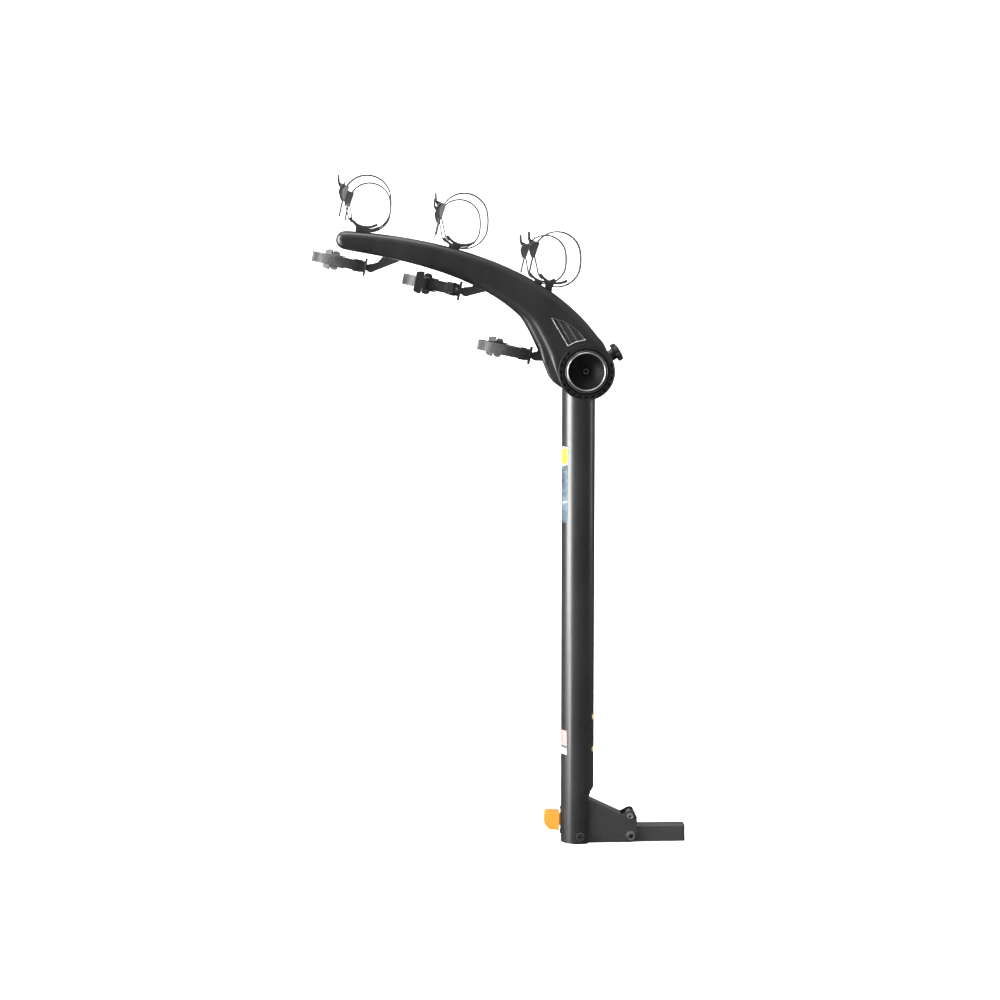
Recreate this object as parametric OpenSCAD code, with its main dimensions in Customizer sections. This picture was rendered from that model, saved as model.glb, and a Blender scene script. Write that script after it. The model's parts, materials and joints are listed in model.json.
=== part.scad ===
/* [Shank and tilt bracket] */
// Outside width of the square shank that slides into the hitch receiver
shank_w = 31.75; // [31.5:0.05:31.8]
// Wall thickness of the shank tube
shank_wall = 3.2; // [2.6:0.1:4]
// Reach of the shank ahead of the hitch bolt
shank_front = 38; // [30:1:50]
// Radius of the tapped hole for the hitch bolt
hitch_hole_r = 5.35; // [5:0.05:6]
// Plate thickness of the folded tilt bracket
plate_t = 3; // [2.5:0.1:3.2]

/* [Mast] */
// Outside radius of the round mast
mast_r = 31.75; // [31.5:0.05:32]
// Wall thickness of the mast
mast_wall = 3; // [2.5:0.1:3.2]
// Height of the arm hubs above the shank's axis
hub_z = 902; // [700:1:1000]
// Radius of the horizontal tube that carries both hubs
cross_r = 30; // [28:1:31]

/* [Arms] */
// Distance between the middle planes of the two arms
arm_gap = 330; // [320:1:360]
// Thickness of an arm at its hub
arm_t = 50; // [48:1:52]
// Thickness of an arm at its tip
arm_tip_t = 38; // [36:1:42]
// Angle between two index holes of the lock
index_step = 15; // [15:15:30]

/* [Cradles and straps] */
// Strap loop radius on the right arm
right_loop_r = 43; // [42:0.5:44]
// Strap loop radius on the left arm
left_loop_r = 40.5; // [40.5:0.5:44]
// Strap loop radius of the stabilizer cradles
sway_loop_r = 45; // [43:0.5:46]
// Thickness of every rubber strap
strap_t = 2.2; // [2:0.1:2.4]

/* [Hidden] */
$fn = 64;

right = -1;
left = 1;

// The shank and what is bolted to it
shank_back = -92;
cap_flange = 3;
shank_in = shank_w - 2 * shank_wall;
hitch_hole_bottom = -9;
cheek_in = shank_w / 2 + 0.1;
cheek_out = cheek_in + plate_t;
lower_bolt = [-67, -3];
upper_bolt = [-69, 36];
lower_bolt_r = 5;
upper_bolt_r = 3;
bolt_clear = 0.15;
cheek_outline = [
    [-66, -16], [-178, -16], [-186, -9], [-188, 0], [-188, 20], [-183, 55], [-176, 64],
    [-160, 70.5], [-148, 68.5], [-85, 38.5], [-79, 41], [-73, 45], [-67, 46.5], [-61, 45],
    [-58, 39], [-55, 33], [-55, -6], [-59, -13]
];
web_outline = [
    [-158, 69.9], [-148, 68.5], [-86, 39], [-87.3, 36.2], [-149.2, 65.5], [-158, 66.9]
];

// The mast and its tilt pivot
mast_x = -170;
mast_bottom = -16;
mast_in_r = mast_r - mast_wall;
pivot = [-166, -1];
pivot_r = 6;
run_gap = 0.05;
side_gap = 0.3;
slot_x = -150;
slot_outline = [
    [slot_x, -20], [slot_x, 74], [-145, 86], [-137, 94], [-100, 94], [-100, -20]
];

// The foot pedal and its latch
latch_bar_pos = [-172, 50];
latch_bar_r = 5;
pedal_pivot = [-190, 58];
pedal_pin_r = 2.5;
pedal_press = 18;
pawl_half = 3;
stem_half = 7;
housing_in = 10.5;
housing_out = 13;
window_z = [3, 48];

// The hubs
hub_y = arm_gap / 2;
hub_r = 52.5;
arm_in = hub_y - arm_t / 2;
arm_out = hub_y + arm_t / 2;
drum_r = 39.4;
drum_hollow_r = 35;
drum_floor = hub_y - 5;
arm_bore_r = drum_r + 0.4;
flange_r = 46;
flange_t = 3.6;
flange_in = arm_in - 0.4 - flange_t;
cap_rim_r = 42.4;
cap_gap = 0.6;
trim_r = [32.8, 35.8];
dish_depth = 19;
knob_angle = 32;
lock_pin_r = 3.5;
lock_hole_r = 3.9;
lock_boss_r = 62;
lock_cup = [8.4, 56];
knob_neck = [7.8, 61.5];
knob_r = [67.4, 73.5];
knob_skirt = 61.6;
notch_ring_r = 46.6;

// The arms, with their outline drawn around the hub's centre
arm_tip = [-437, 238];
arm_tip_r = 17;
arm_upper = [[-440, 255], [-270, 245], [-49, 193], [40, 34]];
arm_lower = [[-440, 221], [-243, 190], [-153, 140], [-103, 92]];
arm_throat = [[-103, 92], [-92, 80], [-68, 30], [-50.7, -13.6]];
arm_steps = [[0, 7], [1.5, 3.5], [4, 1], [6, 0]];
arm_skin = 6;
pocket_depth = 12;
pocket_end = -150;
fin_outline = [[-64, 98], [-34, 47], [-20, 54.5], [-2, 58], [-16, 74], [-40, 91]];
fin_depth = 3;

// The strap loops: where each top loop's centre lies from the hub's centre
loop_centres = [[-396.5, 311], [-221.5, 279], [-53, 210]];
// How far each saddle sits from its loop's centre, and which way
top_drop = [0, -13.5];
sway_drop = [-4.6, -12.7];
strap_w = 20;
saddle_r = [34.3, 38.8];
saddle_arc = [212, 300];
saddle_w = 24;
strap_start = -104;
buckle_at = 145;
buckle_turn = 252;
tail_bend = 6;
buckle_gap = 0.3;
cheek_w = [10.4, 12.4];
rivet_r = 1.5;
barrel_r = 3.4;
lever_pos = [6, strap_t / 2 + 0.4 + barrel_r];
paddle_r = 20;

// The stabilizer cradles: knuckle from the hub's centre, side, and the foot's points on the arm
knuckles = [[-395.3, 186.5], [-219, 144.8], [-72.4, 14]];
sway_sides = [left, right, left];
sway_feet = [
    [[57, 13.5], [66, 27], [36, 36], [14, 12]],
    [[39, 1.2], [49, 16], [26, 30], [12, 10]],
    [[14, -9], [30, -9], [30, 19], [9, 16]]
];
sway_tilt = 12;
sway_turn = 110;
sway_reach = 70.4;
ear_in = 8.4;
ear_out = 12.4;
ear_r = 8.6;
knuckle_r = 8;
knuckle_pin_r = 3;

// Plain helpers

function ray(a) = [cos(a), sin(a)];
function unit(v) = v / norm(v);
function bezier(p, n) = [
    for (i = [0:n])
        let (t = i / n, s = 1 - t)
        s * s * s * p[0] + 3 * s * s * t * p[1] + 3 * s * t * t * p[2] + t * t * t * p[3]
];
function edge_normal(p, i) =
    let (a = p[max(i - 1, 0)], b = p[min(i + 1, len(p) - 1)], d = unit(b - a))
    [-d[1], d[0]];
function band(p, t) = concat(
    [for (i = [0:len(p) - 1]) p[i] + edge_normal(p, i) * t / 2],
    [for (i = [len(p) - 1:-1:0]) p[i] - edge_normal(p, i) * t / 2]
);

// Draws a side view, X right and Z up, w wide across Y
module side(w) {
    rotate([90, 0, 0]) linear_extrude(w, center = true) children();
}

// A round bar across Y at a side-view point
module across(p, r, y0, y1) {
    translate([p[0], y1, p[1]]) rotate([90, 0, 0]) cylinder(r = r, h = y1 - y0);
}

module both_sides() {
    children();
    mirror([0, 1, 0]) children();
}

module round_square(w, r) {
    square([w, w - 2 * r], center = true);
    square([w - 2 * r, w], center = true);
    for (x = [-1, 1], y = [-1, 1])
        translate([x, y] * (w / 2 - r)) circle(r, $fn = 24);
}

// Stands a square profile along X from x0 to x1
module along_x(x0, x1) {
    translate([x0, 0, 0]) rotate([90, 0, 90]) linear_extrude(x1 - x0) children();
}

// Turns a hub's own axis, which points outward, to its side of the rack
module at_hub(s) {
    translate([mast_x, 0, hub_z]) scale([1, -s, 1]) rotate([90, 0, 0]) children();
}

// Points a part's +Z out of the hub along the lock's radius
module at_lock(s) {
    translate([mast_x, s * hub_y, hub_z]) rotate([0, 90 - knob_angle, 0]) children();
}

// Shank and bracket

module shank_tube() {
    color([0.13, 0.13, 0.14])
    difference() {
        along_x(shank_back, shank_front - cap_flange) round_square(shank_w, 3);
        along_x(shank_back - 1, shank_front) round_square(shank_in, 1);
        across(lower_bolt, lower_bolt_r + bolt_clear, -20, 20);
        across([0, 0], hitch_hole_r, 0, 20);
    }
}

module threaded_block() {
    color([0.45, 0.45, 0.47])
    difference() {
        along_x(-13, 13) round_square(shank_in, 1);
        across([0, 0], hitch_hole_r, hitch_hole_bottom, 20);
    }
}

module shank_end_cap() {
    color([0.05, 0.05, 0.05]) {
        along_x(shank_front - cap_flange, shank_front) round_square(shank_w, 3);
        difference() {
            along_x(shank_front - cap_flange - 12, shank_front - cap_flange)
                round_square(shank_in, 1);
            along_x(shank_front - cap_flange - 13, shank_front - cap_flange)
                round_square(shank_in - 5, 1);
        }
    }
}

module tilt_bracket() {
    color([0.12, 0.12, 0.13])
    difference() {
        union() {
            both_sides()
                translate([0, -(cheek_in + cheek_out) / 2, 0])
                side(plate_t) polygon(cheek_outline);
            side(2 * cheek_in) polygon(web_outline);
        }
        across(pivot, pivot_r + run_gap, -30, 30);
        across(lower_bolt, lower_bolt_r + bolt_clear, -30, 30);
        across(upper_bolt, upper_bolt_r + bolt_clear, -30, 30);
        across(latch_bar_pos, latch_bar_r, -30, 30);
    }
}

module cap_screw(p, r, head_r, head_t) {
    washer_t = 1.5;
    across(p, r, -cheek_out - washer_t, cheek_out + 9);
    across(p, head_r + 1.2, -cheek_out - washer_t, -cheek_out);
    across(p, head_r, -cheek_out - washer_t - head_t, -cheek_out - washer_t, $fn = 6);
}

module bracket_bolts() {
    color([0.75, 0.75, 0.77]) {
        cap_screw(lower_bolt, lower_bolt_r, 8.4, 5);
        cap_screw(upper_bolt, upper_bolt_r, 5.4, 3.6);
    }
}

module lock_nut(p, r, nut_r, nut_t) {
    difference() {
        union() {
            across(p, nut_r + 1.2, cheek_out, cheek_out + 1.5);
            across(p, nut_r, cheek_out + 1.5, cheek_out + nut_t, $fn = 6);
        }
        across(p, r, 0, 40);
    }
}

module bracket_nuts() {
    color([0.72, 0.72, 0.74]) {
        lock_nut(lower_bolt, lower_bolt_r, 8.4, 8);
        lock_nut(upper_bolt, upper_bolt_r, 5.4, 6);
    }
}

module bracket_spacer() {
    color([0.6, 0.6, 0.62])
    difference() {
        across(upper_bolt, 6, -cheek_in, cheek_in);
        across(upper_bolt, upper_bolt_r + bolt_clear, -20, 20);
    }
}

module latch_bar() {
    color([0.6, 0.6, 0.62]) across(latch_bar_pos, latch_bar_r, -cheek_out, cheek_out);
}

// Mast

module mast_tube() {
    color([0.12, 0.12, 0.13])
    difference() {
        translate([mast_x, 0, mast_bottom]) cylinder(r = mast_r, h = hub_z - mast_bottom);
        translate([mast_x, 0, mast_bottom - 1]) cylinder(r = mast_in_r, h = hub_z + 40);
        across([mast_x, hub_z], cross_r, -40, 40);
        side(80) polygon(slot_outline);
        across(pivot, pivot_r, -40, 40);
        translate([mast_x - 40, -housing_out, window_z[0]])
            cube([20, 2 * housing_out, window_z[1] - window_z[0]]);
    }
}

module cross_tube() {
    color([0.12, 0.12, 0.13])
    difference() {
        across([mast_x, hub_z], cross_r, -flange_in, flange_in);
        across([mast_x, hub_z], cross_r - 3.5, -200, 200);
    }
}

module pivot_bolt() {
    color([0.2, 0.2, 0.21])
    difference() {
        union() {
            across(pivot, pivot_r, -mast_r, mast_r + 7);
            across(pivot, 7.6, -mast_r - 3, -mast_r);
        }
        across(pivot, 3, -mast_r - 4, -mast_r - 1, $fn = 6);
    }
}

module pivot_nut() {
    color([0.3, 0.3, 0.31])
    difference() {
        across(pivot, 9.5, mast_r, mast_r + 6, $fn = 6);
        across(pivot, pivot_r, 0, 60);
    }
}

module pivot_bushings() {
    color([0.8, 0.8, 0.78])
    both_sides()
        difference() {
            intersection() {
                across(pivot, 10, -40, -cheek_out - side_gap);
                translate([mast_x, 0, -20]) cylinder(r = mast_in_r, h = 40);
            }
            across(pivot, pivot_r, -60, 60);
        }
}

module housing_slab(z0, z1, y0, y1) {
    translate([mast_x - 40, y0, z0]) cube([24, y1 - y0, z1 - z0]);
}

module latch_housing() {
    lip = 2;
    color([0.06, 0.06, 0.06])
    difference() {
        union() {
            intersection() {
                union() {
                    both_sides() housing_slab(window_z[0], 68, housing_in, housing_out);
                    housing_slab(window_z[0], window_z[0] + 3, -housing_out, housing_out);
                }
                translate([mast_x, 0, 0]) cylinder(r = mast_in_r, h = 80);
            }
            difference() {
                intersection() {
                    housing_slab(window_z[0] - 3, window_z[1] + 3, -16, 16);
                    translate([mast_x, 0, 0]) cylinder(r = mast_r + lip, h = 80);
                }
                translate([mast_x, 0, -1]) cylinder(r = mast_r, h = 90);
            }
            intersection() {
                housing_slab(window_z[0], window_z[1], -housing_out, housing_out);
                difference() {
                    translate([mast_x, 0, 0]) cylinder(r = mast_r, h = 80);
                    translate([mast_x, 0, -1]) cylinder(r = mast_in_r, h = 90);
                }
            }
        }
        housing_slab(window_z[0] + 3, window_z[1] - 1, -housing_in, housing_in);
        across(pedal_pivot, pedal_pin_r, -20, 20);
    }
}

module pedal_pin() {
    color([0.6, 0.6, 0.62])
        across(pedal_pivot, pedal_pin_r, -housing_out, housing_out);
}

module latch_spring() {
    wire_r = 0.6;
    coil_r = 4;
    color([0.65, 0.65, 0.66])
    both_sides()
        translate([pedal_pivot[0], 0, pedal_pivot[1]]) {
            for (y = [8.1, 9.1])
                translate([0, -y, 0]) rotate([90, 0, 0])
                    rotate_extrude() translate([coil_r, 0]) circle(wire_r, $fn = 16);
            translate([coil_r + 0.2, -9.1, -9]) cylinder(r = wire_r, h = 9, $fn = 16);
        }
}

// A curved label on the mast between two angles
module sticker(a0, a1, z0, z1) {
    translate([mast_x, 0, z0]) rotate([0, 0, a0])
        rotate_extrude(angle = a1 - a0) translate([mast_r, 0]) square([0.25, z1 - z0]);
}

module mast_stickers() {
    color([0.55, 0.62, 0.68]) {
        sticker(134, 226, 607, 752);
        sticker(182, 226, 158, 205);
        sticker(-32, 32, 163, 235);
    }
}

// Foot pedal

module release_pedal() {
    color([0.95, 0.68, 0.1])
    difference() {
        union() {
            both_sides()
                translate([0, -(pawl_half + stem_half) / 2, 0]) side(stem_half - pawl_half) {
                    polygon([
                        [-192, 58], [-186, 58], [-186, 42], [-190, 30], [-206, 14],
                        [-206, 36], [-196, 42], [-192, 47]
                    ]);
                    translate(pedal_pivot) circle(5);
                }
            side(30) polygon([
                [-205, 43], [-230, 44], [-234, 40], [-234, 20], [-225, 10], [-206, 8]
            ]);
        }
        across(pedal_pivot, pedal_pin_r + run_gap, -20, 20);
        for (z = [17, 25, 33])
            translate([-235, -20, z]) cube([2.5, 40, 2.5]);
    }
}

module latch_pawl() {
    color([0.55, 0.55, 0.57])
    translate([pedal_pivot[0], 0, pedal_pivot[1]]) rotate([0, -pedal_press, 0])
        translate([-pedal_pivot[0], 0, -pedal_pivot[1]])
        difference() {
            union() {
                side(2 * pawl_half) polygon([
                    [-188, 61.5], [-161, 62.5], [-161, 50.5], [-165, 50.5], [-166.4, 56.5],
                    [-184, 56.5], [-188, 55.5]
                ]);
                across(pedal_pivot, 5, -pawl_half, pawl_half);
            }
            across(pedal_pivot, pedal_pin_r + run_gap, -20, 20);
        }
}

// Hubs, drawn along their own outward axis

module index_drum(s) {
    color([0.09, 0.09, 0.09])
    at_hub(s)
    difference() {
        union() {
            translate([0, 0, flange_in]) cylinder(r = flange_r, h = flange_t);
            translate([0, 0, flange_in]) cylinder(r = drum_r, h = arm_out - 3 - flange_in);
        }
        translate([0, 0, drum_floor]) cylinder(r = drum_hollow_r, h = 60);
        cylinder(r = 3, h = 200);
        for (k = [-1:7])
            rotate([0, 0, knob_angle + k * index_step]) translate([25, 0, hub_y])
                rotate([0, 90, 0]) cylinder(r = lock_hole_r, h = 30, $fn = 32);
    }
}

module hub_cap(s) {
    rim_z = [arm_out - 3, arm_out - 0.6];
    dish_r = (trim_r[0] * trim_r[0] + dish_depth * dish_depth) / (2 * dish_depth);
    color([0.03, 0.03, 0.03])
    at_hub(s)
    difference() {
        union() {
            translate([0, 0, rim_z[0]]) cylinder(r = cap_rim_r, h = rim_z[1] - rim_z[0]);
            translate([0, 0, rim_z[1] - dish_depth - 4])
                cylinder(r = drum_hollow_r - 0.2, h = dish_depth + 4);
        }
        translate([0, 0, rim_z[1] - dish_depth + dish_r]) sphere(r = dish_r, $fn = 128);
        cylinder(r = 3, h = 200);
    }
}

module trim_rings() {
    color([0.75, 0.75, 0.76])
    for (s = [right, left])
        at_hub(s) translate([0, 0, arm_out - 0.6])
            rotate_extrude() translate([trim_r[0], 0]) {
                square([trim_r[1] - trim_r[0], 1]);
                translate([0.8, 0]) square([trim_r[1] - trim_r[0] - 1.6, 1.8]);
            }
}

module hub_screws() {
    head_z = arm_out - 0.6 - dish_depth;
    color([0.2, 0.2, 0.2])
    for (s = [right, left])
        at_hub(s)
        difference() {
            union() {
                translate([0, 0, flange_in + 4]) cylinder(r = 3, h = head_z - flange_in);
                translate([0, 0, head_z + 0.6]) cylinder(r = 6, h = 3);
            }
            translate([0, 0, head_z + 2]) cylinder(r = 2.5, h = 5, $fn = 6);
        }
}

// Arms

module arm_outline() {
    polygon(concat(
        bezier(arm_upper, 20),
        [[0, 0]],
        [for (i = [8:-1:0]) bezier(arm_throat, 8)[i]],
        [for (i = [13:-1:0]) bezier(arm_lower, 14)[i]]
    ));
    translate(arm_tip) circle(arm_tip_r);
    circle(hub_r, $fn = 96);
}

// Plan of the arm, seen from above, cut back by e on each face
module arm_plan(e) {
    hub_h = arm_t / 2 - e;
    tip_h = arm_tip_t / 2 - e;
    polygon([
        [-460, -tip_h], [-60, -hub_h], [60, -hub_h], [60, hub_h], [-60, hub_h], [-460, tip_h]
    ]);
}

// The arm's outer form, stepped towards its faces, around the hub's centre
module arm_form() {
    for (step = arm_steps)
        intersection() {
            side(arm_t + 2) offset(delta = -step[0]) arm_outline();
            translate([0, 0, -100]) linear_extrude(400) arm_plan(step[1]);
        }
}

module at_arm(s) {
    translate([mast_x, s * hub_y, hub_z]) children();
}

// Hollow back of the arm with its cross ribs
module arm_pocket() {
    difference() {
        offset(delta = -arm_skin) arm_outline();
        translate([pocket_end, -100]) square([300, 400]);
        for (i = [0:4])
            translate([-395 + i * 50, 225 - i * 3 - i * i * 1.8]) rotate(72 - i * 6)
                square([90, 4], center = true);
    }
}

module arm(s) {
    color([0.08, 0.08, 0.08])
    at_arm(s)
    difference() {
        union() {
            arm_form();
            rotate([0, 90 - knob_angle, 0]) translate([0, 0, hub_r - 8])
                cylinder(r = 10.5, h = lock_boss_r - hub_r + 8);
        }
        across([0, 0], arm_bore_r, -60, 60);
        scale([1, s, 1]) {
            across([0, 0], cap_rim_r + cap_gap, arm_t / 2 - 3 - cap_gap, 60);
            translate([0, -arm_t / 2, 0]) side(2 * pocket_depth) arm_pocket();
            translate([0, arm_t / 2, 0]) side(2 * fin_depth) polygon(fin_outline);
            for (a = [135:15:375])
                rotate([0, -a, 0]) translate([notch_ring_r - 1.8, arm_t / 2 - 6, -3.2])
                    cube([3.6, 10, 6.4]);
        }
        rotate([0, 90 - knob_angle, 0]) {
            cylinder(r = lock_hole_r, h = 80, $fn = 32);
            translate([0, 0, lock_cup[1]]) cylinder(r = lock_cup[0], h = 30, $fn = 48);
        }
    }
}

module arm_inlay(s) {
    color([0.35, 0.35, 0.36])
    at_arm(s) scale([1, s, 1])
    translate([0, arm_t / 2 - fin_depth, 0]) {
        translate([0, 0.6, 0]) side(1.2) offset(delta = -0.2) polygon(fin_outline);
        intersection() {
            translate([0, 1.4, 0]) side(2.8) offset(delta = -0.2) polygon(fin_outline);
            for (i = [0:3])
                translate([-52 + i * 13, 1.4, 71]) rotate([0, 62 - i * 2, 0])
                    cube([80, 2.8, 2.4], center = true);
        }
    }
}

module lock_knob(s) {
    color([0.06, 0.06, 0.06])
    at_lock(s)
    difference() {
        rotate_extrude() polygon(concat(
            [
                [0, knob_neck[1]], [knob_neck[0], knob_neck[1]], [knob_neck[0], knob_r[0] - 0.6],
                [12.2, knob_r[0] - 0.2], [12.8, knob_skirt + 1.6], [14.4, knob_skirt], [16.4, knob_skirt],
                [17.5, knob_skirt + 1.4]
            ],
            [for (a = [0:15:90]) [17.5 * cos(a), knob_r[0] + 1.6 + 4.5 * sin(a)]]
        ));
        translate([0, 0, knob_neck[1] - 1]) cylinder(r = lock_pin_r, h = 9);
        for (a = [0:45:315])
            rotate([0, 0, a]) translate([19.5, 0, 0]) cylinder(r = 4, h = 90);
    }
}

module lock_pin(s) {
    color([0.7, 0.7, 0.72])
    at_lock(s) translate([0, 0, drum_r + 0.6])
        cylinder(r = lock_pin_r, h = knob_neck[1] + 8 - drum_r - 0.6);
}

// Strap loops, drawn in a plane with the cradle at the bottom and the buckle at the upper left

function loop_end(r) = r * ray(buckle_at);
function in_buckle(r, u, n) = loop_end(r) + u * ray(buckle_turn) + n * ray(buckle_turn - 90);
function ease(k) = k * k * (3 - 2 * k);
function strap_path(r, drop) = concat(
    [
        for (i = [0:48])
            let (a = strap_start + i * (buckle_at - strap_start) / 48)
            drop * ease(max(0, min(1, (25 - a) / 50))) + r * ray(a)
    ],
    [
        in_buckle(r, 4, 0),
        in_buckle(r, 15, 0),
        in_buckle(r, 28, 0),
        in_buckle(r, 28, 0) + 10 * ray(buckle_turn + tail_bend / 2),
        in_buckle(r, 28, 0) + 10 * ray(buckle_turn + tail_bend / 2)
            + 20 * ray(buckle_turn + tail_bend)
    ]
);
base_n = -strap_t / 2 - buckle_gap - 1;
function link_path(r, drop) = [
    drop + (saddle_r[1] + 0.8) * ray(226), drop + (saddle_r[1] + 0.8) * ray(219),
    drop + (saddle_r[1] + 0.8) * ray(212), in_buckle(r, 26, base_n), in_buckle(r, 20, base_n),
    in_buckle(r, 0.5, base_n)
];

module strap_loop(r, drop) {
    linear_extrude(strap_w, center = true) polygon(band(strap_path(r, drop), strap_t));
}

module buckle_frame(r, drop) {
    linear_extrude(18, center = true) polygon(band(link_path(r, drop), 2));
    linear_extrude(2 * cheek_w[1], center = true)
        polygon([for (q = [[0.5, -1], [24, -1], [24, 1], [0.5, 1]]) in_buckle(r, q[0], base_n + q[1])]);
    for (w = [-cheek_w[1], cheek_w[0]])
        translate([0, 0, w]) linear_extrude(cheek_w[1] - cheek_w[0])
            polygon([
                for (q = [
                    [0.5, -3.4], [24, -3.4], [29, -1.5], [29.5, 2.5], [24, 7], [15.5, 11.8],
                    [5, 11.8], [1.5, 9], [0.5, 5]
                ])
                    in_buckle(r, q[0], q[1])
            ]);
    translate(in_buckle(r, lever_pos[0], lever_pos[1]))
        cylinder(r = rivet_r, h = 2 * cheek_w[1], center = true);
}

module lever_form(r) {
    translate(in_buckle(r, lever_pos[0], lever_pos[1]))
        difference() {
            union() {
                cylinder(r = barrel_r, h = 19.6, center = true);
                linear_extrude(18, center = true) polygon([
                    [-3.3, 0], [-8.6, 2.5], [-10.8, 8.6], [-7.4, 9.4], [0, 6.4], [3.2, 1.2]
                ]);
                intersection() {
                    linear_extrude(50, center = true)
                        polygon([[-10.7, 8.4], [-10.9, 23], [-8.1, 23], [-7.3, 9.2]]);
                    translate([-20, 12, 0]) rotate([0, 90, 0]) cylinder(r = paddle_r, h = 30);
                }
            }
            cylinder(r = rivet_r + run_gap, h = 30, center = true);
        }
}

module saddle(drop) {
    translate(drop)
    linear_extrude(saddle_w, center = true)
        difference() {
            intersection() {
                circle(saddle_r[1], $fn = 96);
                polygon(concat([[0, 0]], [for (a = [saddle_arc[0]:11:saddle_arc[1]]) 60 * ray(a)]));
            }
            circle(saddle_r[0], $fn = 96);
        }
}

function loop_r(s) = s == right ? right_loop_r : left_loop_r;

// Stands the loop's plane upright at a top cradle
module at_loop(s, i) {
    translate([mast_x + loop_centres[i][0], s * hub_y, hub_z + loop_centres[i][1]])
        rotate([90, 0, 0]) children();
}

module cradles(s) {
    color([0.07, 0.07, 0.07])
    for (i = [0:2]) {
        difference() {
            at_loop(s, i) {
                saddle(top_drop);
                difference() {
                    linear_extrude(saddle_w - 4, center = true)
                        polygon([
                            [-22, -90], [-21, -45], [-3, -45], [-5, -50],
                            [-9, -58], [-10, -66], [-8, -74], [-8, -90]
                        ]);
                    translate(top_drop)
                        cylinder(r = saddle_r[0], h = 60, center = true, $fn = 96);
                }
            }
            at_arm(s) arm_form();
            for (d = [0, 15, 32])
                at_arm(s) side(60) translate([0, -d]) arm_outline();
        }
    }
}

module buckles(s) {
    color([0.1, 0.1, 0.1]) for (i = [0:2]) at_loop(s, i) buckle_frame(loop_r(s), top_drop);
}

module strap(s, i) {
    color([0.14, 0.13, 0.13]) at_loop(s, i) strap_loop(loop_r(s), top_drop);
}

module lever(s, i) {
    color([0.09, 0.09, 0.09]) at_loop(s, i) lever_form(loop_r(s));
}

// Stabilizer cradles, each drawn around its knuckle with the loop lying flat

module at_knuckle(i) {
    translate([mast_x + knuckles[i][0], sway_sides[i] * hub_y, hub_z + knuckles[i][1]])
        children();
}

module at_sway_loop(i) {
    at_knuckle(i) rotate([0, sway_tilt, 0]) scale([1, -sway_sides[i], 1])
        translate([-sway_reach, 0, 0]) rotate([0, 0, sway_turn]) children();
}

module sway_foot(i) {
    difference() {
        at_knuckle(i)
            difference() {
                side(2 * ear_out) {
                    circle(ear_r);
                    polygon(concat([[0, -ear_r]], sway_feet[i], [[2, 8.3]]));
                }
                across([0, 0], ear_r + 1.4, -ear_in, ear_in);
            }
        at_arm(sway_sides[i]) arm_form();
        at_arm(sway_sides[i]) side(60) offset(delta = -arm_steps[3][0]) arm_outline();
    }
    at_knuckle(i) across([0, 0], knuckle_pin_r, -ear_out, ear_out);
}

module right_sway_bracket() {
    color([0.08, 0.08, 0.08]) sway_foot(1);
}

module left_sway_brackets() {
    color([0.08, 0.08, 0.08]) for (i = [0, 2]) sway_foot(i);
}

module sway_cradle(i) {
    color([0.08, 0.08, 0.08]) {
        at_sway_loop(i) buckle_frame(sway_loop_r, sway_drop);
        at_sway_loop(i) saddle(sway_drop);
        at_knuckle(i) rotate([0, sway_tilt, 0])
            difference() {
                union() {
                    translate([-13, -16, -18]) cube([4, 32, 35]);
                    difference() {
                        translate([-26, -13, -11]) cube([14, 26, 22]);
                        translate([-sway_reach + norm(sway_drop), 0, 0])
                            cylinder(r = saddle_r[0], h = 60, center = true, $fn = 96);
                    }
                    translate([-10, -8, -6]) cube([10, 16, 12]);
                    across([0, 0], knuckle_r, -8, 8);
                }
                across([0, 0], knuckle_pin_r + run_gap, -20, 20);
            }
    }
}

module sway_strap(i) {
    color([0.14, 0.13, 0.13]) at_sway_loop(i) strap_loop(sway_loop_r, sway_drop);
}

module sway_lever(i) {
    color([0.09, 0.09, 0.09]) at_sway_loop(i) lever_form(sway_loop_r);
}

shank_tube();
threaded_block();
shank_end_cap();
tilt_bracket();
bracket_bolts();
bracket_nuts();
bracket_spacer();
latch_bar();
mast_tube();
cross_tube();
pivot_bolt();
pivot_nut();
pivot_bushings();
latch_housing();
pedal_pin();
latch_spring();
mast_stickers();
release_pedal();
latch_pawl();
index_drum(right);  // right_index_drum
index_drum(left);  // left_index_drum
hub_cap(right);  // right_hub_cap
hub_cap(left);  // left_hub_cap
trim_rings();
hub_screws();
arm(right);  // right_arm
arm(left);  // left_arm
arm_inlay(right);  // right_arm_inlay
arm_inlay(left);  // left_arm_inlay
lock_knob(right);  // right_lock_knob
lock_knob(left);  // left_lock_knob
lock_pin(right);  // right_lock_pin
lock_pin(left);  // left_lock_pin
cradles(right);  // right_cradles
cradles(left);  // left_cradles
buckles(right);  // right_buckles
buckles(left);  // left_buckles
strap(right, 0);  // right_strap_1
strap(right, 1);  // right_strap_2
strap(right, 2);  // right_strap_3
strap(left, 0);  // left_strap_1
strap(left, 1);  // left_strap_2
strap(left, 2);  // left_strap_3
lever(right, 0);  // right_lever_1
lever(right, 1);  // right_lever_2
lever(right, 2);  // right_lever_3
lever(left, 0);  // left_lever_1
lever(left, 1);  // left_lever_2
lever(left, 2);  // left_lever_3
right_sway_bracket();
left_sway_brackets();
sway_cradle(0);  // sway_cradle_1
sway_cradle(1);  // sway_cradle_2
sway_cradle(2);  // sway_cradle_3
sway_strap(0);  // sway_strap_1
sway_strap(1);  // sway_strap_2
sway_strap(2);  // sway_strap_3
sway_lever(0);  // sway_lever_1
sway_lever(1);  // sway_lever_2
sway_lever(2);  // sway_lever_3
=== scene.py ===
"""Looks for the hitch mounted bike rack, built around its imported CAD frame."""

import json
import math

import bmesh
import bpy
from mathutils import Matrix, Vector
from mathutils.geometry import tessellate_polygon


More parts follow.
